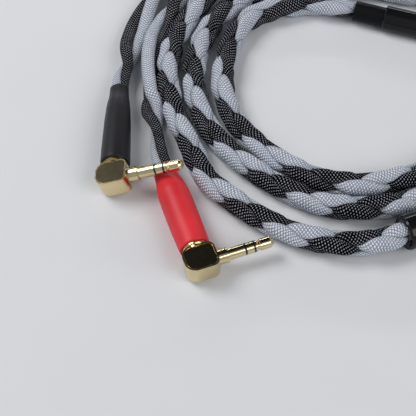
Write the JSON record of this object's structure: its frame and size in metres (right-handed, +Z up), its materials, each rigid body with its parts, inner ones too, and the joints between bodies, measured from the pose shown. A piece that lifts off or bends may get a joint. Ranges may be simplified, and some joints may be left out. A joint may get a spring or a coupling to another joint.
{
  "type": "instrument cable",
  "caption": "Braided stereo audio cable lying in loose rings, with right-angle 3.5 mm plugs on short legs, a splitter and a straight 3.5 mm plug with a screw-on barrel",
  "frame": {"origin": "on the floor, under the middle of the box of the plugs and the splitter", "axes": "+Z up; +X along the picture's width, to the right; +Y away from the viewer"},
  "size_m": [0.1703, 0.1534, 0.0131],
  "materials": {
    "gold": "polished gold plate",
    "gold_pin": "polished gold plate",
    "insulator": "glossy black moulding",
    "black_boot": "satin black heat-shrink",
    "red_boot": "satin red heat-shrink",
    "tinned": "tinned",
    "wire": "matt wire insulation",
    "liner": "thin clear-white liner",
    "black_barrel": "glossy black",
    "amp_barrel": "glossy black",
    "splitter_liner": "soft grey liner",
    "braid": "braided sleeve, silver-grey and black",
    "leg_braid": "braided sleeve, silver-grey and black"
  },
  "bodies": {
    "cable": {"left_plug_body": "gold", "left_plug_cover": "gold", "left_sleeve_contact": "gold_pin", "left_outer_insulator": "insulator", "left_ring_contact": "gold_pin", "left_inner_insulator": "insulator", "left_tip_contact": "gold_pin", "left_ring_lug": "tinned", "left_tip_lug": "tinned", "left_boot": "black_boot", "left_plug_wires": "wire", "right_plug_body": "gold", "right_plug_cover": "gold", "right_sleeve_contact": "gold_pin", "right_outer_insulator": "insulator", "right_ring_contact": "gold_pin", "right_inner_insulator": "insulator", "right_tip_contact": "gold_pin", "right_ring_lug": "tinned", "right_tip_lug": "tinned", "right_boot": "red_boot", "right_plug_wires": "wire", "amp_plug_body": "gold", "amp_sleeve_contact": "gold_pin", "amp_outer_insulator": "insulator", "amp_ring_contact": "gold_pin", "amp_inner_insulator": "insulator", "amp_tip_contact": "gold_pin", "amp_ring_lug": "tinned", "amp_tip_lug": "tinned", "amp_cable_clamp": "tinned", "amp_cable_relief": "black_boot", "amp_wires": "wire", "splitter_barrel": "black_barrel", "splitter_sleeve": "splitter_liner", "splitter_wires": "wire", "left_leg": "leg_braid", "right_leg": "leg_braid", "main_cable": "braid"},
    "liner": {"amp_plug_liner": "liner"},
    "barrel": {"amp_plug_barrel": "amp_barrel"}
  },
  "joints": [
    {"name": "liner_slide", "type": "slide", "parent": "cable", "child": "liner", "axis": [-0.9455, 0.3256, 0], "range_m": [0, 0.003]},
    {"name": "barrel_turn", "type": "hinge", "parent": "liner", "child": "barrel", "pos_m": [0.04576, 0.04324, 0.0044], "axis": [-0.9455, 0.3256, 0], "range_deg": [0, 1440.2]}
  ],
  "couplings": [
    {"joint": "barrel_turn", "follows": "liner_slide", "rad_per_m": 8377.6}
  ]
}
